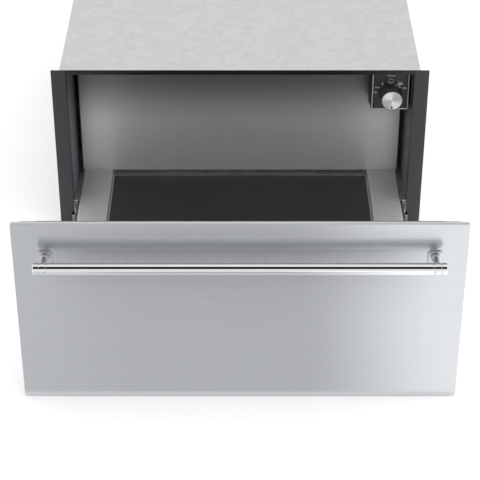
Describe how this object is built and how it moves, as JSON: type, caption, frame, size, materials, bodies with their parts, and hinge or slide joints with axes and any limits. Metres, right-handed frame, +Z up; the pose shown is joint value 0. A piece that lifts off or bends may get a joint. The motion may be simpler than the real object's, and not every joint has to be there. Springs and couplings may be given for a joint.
{
  "type": "warming drawer",
  "caption": "Built-in warming drawer, shown pulled open: steel carcass, brushed front with bar handle, heated dark glass base, dial inside.",
  "frame": {"origin": "centre of the carcass underside, on the surface that it stands on", "axes": "+X to the right seen from the front, +Y from the front to the back, +Z up; the drawer is fully open at rest"},
  "size_m": [0.597, 1.0183, 0.29],
  "materials": {
    "front_steel": "brushed, cool grey, satin",
    "inner_steel": "brushed stainless sheet",
    "handle_steel": "polished along the bar",
    "rose_steel": "satin",
    "trim_steel": "bright edge",
    "zinc_sheet": "zinc coated sheet, fine spangle",
    "frame_dark": "dark grey satin paint",
    "rail_steel": "bright zinc plated",
    "cage_steel": "zinc-plated strip",
    "ball_steel": "polished",
    "screw_steel": "zinc plated",
    "control_black": "fine matt grain",
    "panel_black": "satin black",
    "knob_black": "satin black",
    "knob_metal": "turned face",
    "lens_grey": "translucent grey",
    "switch_plastic": "moulded",
    "shaft_steel": "turned",
    "plate_glass": "dark glass ceramic, satin top",
    "wool": "mineral wool",
    "seal": "silicone seal",
    "element": "oxidised sheath",
    "cutout_body": "glazed ceramic"
  },
  "bodies": {
    "carcass": {"carcass_floor": "zinc_sheet", "carcass_top": "zinc_sheet", "carcass_back": "zinc_sheet", "side_left": "zinc_sheet", "side_right": "zinc_sheet", "liner_left": "frame_dark", "liner_right": "frame_dark", "frame_strip_left": "frame_dark", "frame_strip_right": "frame_dark", "top_rail": "frame_dark", "rail_outer_left": "rail_steel", "rail_outer_right": "rail_steel", "rail_outer_screws": "screw_steel", "carcass_screws": "screw_steel", "control_housing": "control_black", "control_panel": "panel_black", "rotary_switch": "switch_plastic", "indicator_lens": "lens_grey", "terminal_box": "control_black", "cable_gland": "control_black"},
    "slide_members": {"rail_middle_left": "rail_steel", "rail_middle_right": "rail_steel"},
    "outer_cages": {"outer_cage_left": "cage_steel", "outer_cage_right": "cage_steel", "outer_balls": "ball_steel"},
    "inner_cages": {"inner_cage_left": "cage_steel", "inner_cage_right": "cage_steel", "inner_balls": "ball_steel"},
    "drawer": {"front_skin": "front_steel", "front_core": "wool", "front_inner_panel": "inner_steel", "front_gasket": "seal", "handle_bar": "handle_steel", "handle_collar_left": "handle_steel", "handle_collar_right": "handle_steel", "handle_cap_left": "handle_steel", "handle_cap_right": "handle_steel", "handle_rose_left": "rose_steel", "handle_rose_right": "rose_steel", "handle_bolts": "screw_steel", "drawer_pan": "zinc_sheet", "platform_left": "inner_steel", "platform_right": "inner_steel", "support_left": "zinc_sheet", "support_right": "zinc_sheet", "warming_plate": "plate_glass", "plate_trim": "trim_steel", "heater_tray": "zinc_sheet", "heating_element": "element", "pan_insulation": "wool", "thermal_cutout": "cutout_body", "drawer_back": "inner_steel", "back_brace": "zinc_sheet", "rail_inner_left": "rail_steel", "rail_inner_right": "rail_steel", "drawer_screws": "screw_steel"},
    "knob": {"knob_body": "knob_black", "knob_face": "knob_metal", "knob_shaft": "shaft_steel"}
  },
  "joints": [
    {"name": "drawer_slide", "type": "slide", "parent": "carcass", "child": "drawer", "axis": [0, 1, 0], "range_m": [0, 0.4]},
    {"name": "middle_slide", "type": "slide", "parent": "carcass", "child": "slide_members", "axis": [0, 1, 0], "range_m": [0, 0.2]},
    {"name": "outer_cage_roll", "type": "slide", "parent": "carcass", "child": "outer_cages", "axis": [0, 1, 0], "range_m": [0, 0.1]},
    {"name": "inner_cage_roll", "type": "slide", "parent": "carcass", "child": "inner_cages", "axis": [0, 1, 0], "range_m": [0, 0.3]},
    {"name": "knob_turn", "type": "hinge", "parent": "carcass", "child": "knob", "pos_m": [0.235, -0.2405, 0.225], "axis": [0, 1, 0], "range_deg": [0, 240]}
  ],
  "couplings": [
    {"joint": "middle_slide", "follows": "drawer_slide", "ratio": 0.5},
    {"joint": "outer_cage_roll", "follows": "drawer_slide", "ratio": 0.25},
    {"joint": "inner_cage_roll", "follows": "drawer_slide", "ratio": 0.75}
  ]
}
